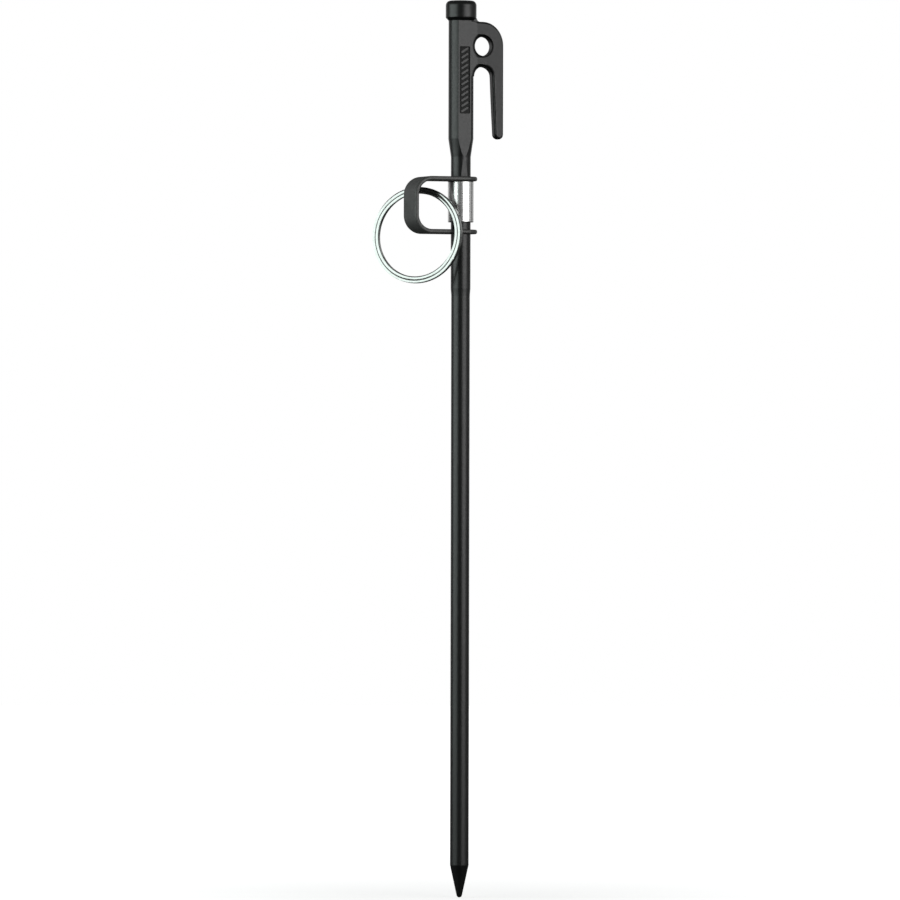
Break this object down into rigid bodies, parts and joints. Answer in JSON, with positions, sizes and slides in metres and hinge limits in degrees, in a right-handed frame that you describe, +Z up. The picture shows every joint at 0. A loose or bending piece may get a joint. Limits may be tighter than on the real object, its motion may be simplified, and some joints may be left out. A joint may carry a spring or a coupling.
{
  "type": "tent stake",
  "caption": "Forged steel stake with hammer head, guy-line hook and eye, and a swivel bracket that carries a split ring.",
  "frame": {"origin": "the point of the stake, on the shank's axis", "axes": "+Z up the shank to the hammer head, +X towards the hook, -Y towards the face with the marked panel"},
  "size_m": [0.0657, 0.0388, 0.48],
  "materials": {
    "black_paint": "semi-gloss black paint on a forged surface",
    "polished_steel": "bright plated tube",
    "grey_strap": "dark grey satin coating on flat strap",
    "chrome_wire": "nickel-plated flat spring wire"
  },
  "bodies": {
    "stake": {"stake_body": "black_paint", "sleeve": "polished_steel"},
    "bracket": {"swivel_bracket": "grey_strap"},
    "ring": {"split_ring": "chrome_wire"}
  },
  "joints": [
    {"name": "bracket_swivel", "type": "hinge", "parent": "stake", "child": "bracket", "pos_m": [0, 0, 0.3704], "axis": [0, 0, 1], "continuous": true},
    {"name": "ring_swing", "type": "hinge", "parent": "bracket", "child": "ring", "pos_m": [-0.01687, -0.00079, 0.35639], "axis": [-0.7166, -0.692, 0.0872], "range_deg": [-8, 90]}
  ]
}
